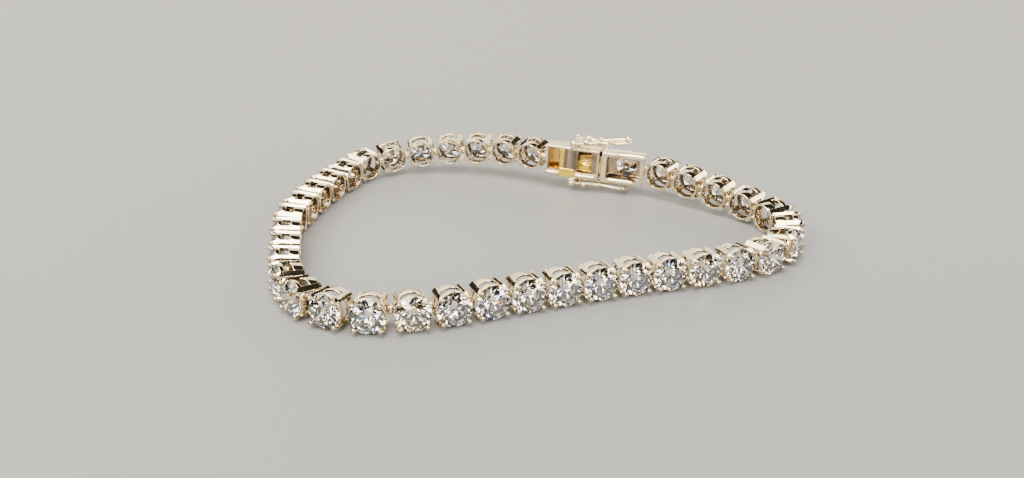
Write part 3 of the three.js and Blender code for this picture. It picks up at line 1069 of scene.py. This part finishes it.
studio = {
    "floorHalf": 4, "floorColor": (0.190, 0.198, 0.212, 1), "floorRoughness": 0.45,
    "surround": (0.03, 0.028, 0.025, 1), "backdrop": (0.5, 0.49, 0.47, 1),
    "sunTurn": (10, -5, 0), "sunWidth": 44, "sunStrength": 7.2, "sunColor": (1, 0.92, 0.78),
}
warm, cool = (1, 0.91, 0.74), (0.96, 0.97, 1)
# name, place, size, brightness and color
panels = [
    ("back", (0.02, 0.5, 0.20), (0.9, 0.32), 2.5, warm),
    ("frontLeft", (-0.28, -0.34, 0.32), (0.20, 0.12), 36, warm),
    ("frontRight", (0.32, -0.32, 0.26), (0.11, 0.16), 30, cool),
    ("low", (-0.02, -0.5, 0.15), (0.42, 0.06), 18, warm),
    ("left", (-0.36, 0.1, 0.36), (0.42, 0.40), 7.5, warm),
    ("right", (0.5, 0.02, 0.18), (0.4, 0.26), 7.5, warm),
]
view = {
    "lens": 36.5625, "sensor": 36, "nearest": 0.002,
    "aim": (-0.003224, -0.000855, 0), "distance": 0.134, "pitch": math.radians(24),
}


def buildTable():
    bpy.ops.mesh.primitive_plane_add(size=2 * studio["floorHalf"])
    table = named("table")
    material, *_, shader = newMaterial("paleTable")
    shader.inputs["Base Color"].default_value = studio["floorColor"]
    shader.inputs["Roughness"].default_value = studio["floorRoughness"]
    dress(table, material)


def hangBackdrop():
    # a pale backdrop behind the table, which throws little light of its own
    world = bpy.data.worlds.new("studio")
    world.use_nodes = True
    bpy.context.scene.world = world
    tree = world.node_tree
    seen, tone = tree.nodes.new("ShaderNodeLightPath"), tree.nodes.new("ShaderNodeMix")
    tone.data_type = "RGBA"
    tone.inputs["A"].default_value = studio["surround"]
    tone.inputs["B"].default_value = studio["backdrop"]
    tree.links.new(seen.outputs["Is Camera Ray"], tone.inputs["Factor"])
    tree.links.new(tone.outputs["Result"], tree.nodes["Background"].inputs["Color"])


def addOverhead():
    # a broad overhead light, far enough off to reach the whole table evenly
    turn = [math.radians(angle) for angle in studio["sunTurn"]]
    bpy.ops.object.light_add(type="SUN", location=(0, 0, 1), rotation=turn)
    overhead = bpy.context.object
    overhead.name = "overhead"
    overhead.data.energy = studio["sunStrength"]
    overhead.data.angle = math.radians(studio["sunWidth"])
    overhead.data.color = studio["sunColor"]


def addPanel(name, place, size, glow, color):
    # a soft light of a given brightness, aimed at the bracelet
    bpy.ops.object.light_add(type="AREA", location=place)
    panel = bpy.context.object
    panel.name = name
    panel.data.shape = "RECTANGLE"
    panel.data.size, panel.data.size_y = size
    panel.data.energy = glow * math.pi * size[0] * size[1]
    panel.data.color = color
    panel.rotation_euler = (-Vector(place)).to_track_quat("-Z", "Y").to_euler()
    panel.visible_camera = False


def setCamera():
    tilt = view["pitch"]
    back = Vector((0, -math.cos(tilt), math.sin(tilt)))
    bpy.ops.object.camera_add(
        location=Vector(view["aim"]) + view["distance"] * back, rotation=(math.pi / 2 - tilt, 0, 0))
    camera = bpy.context.object
    camera.data.lens = view["lens"]
    camera.data.sensor_width = view["sensor"]
    camera.data.clip_start = view["nearest"]
    bpy.context.scene.camera = camera


buildTable()
hangBackdrop()
addOverhead()
for panel in panels:
    addPanel(*panel)
setCamera()

print("scene ready")
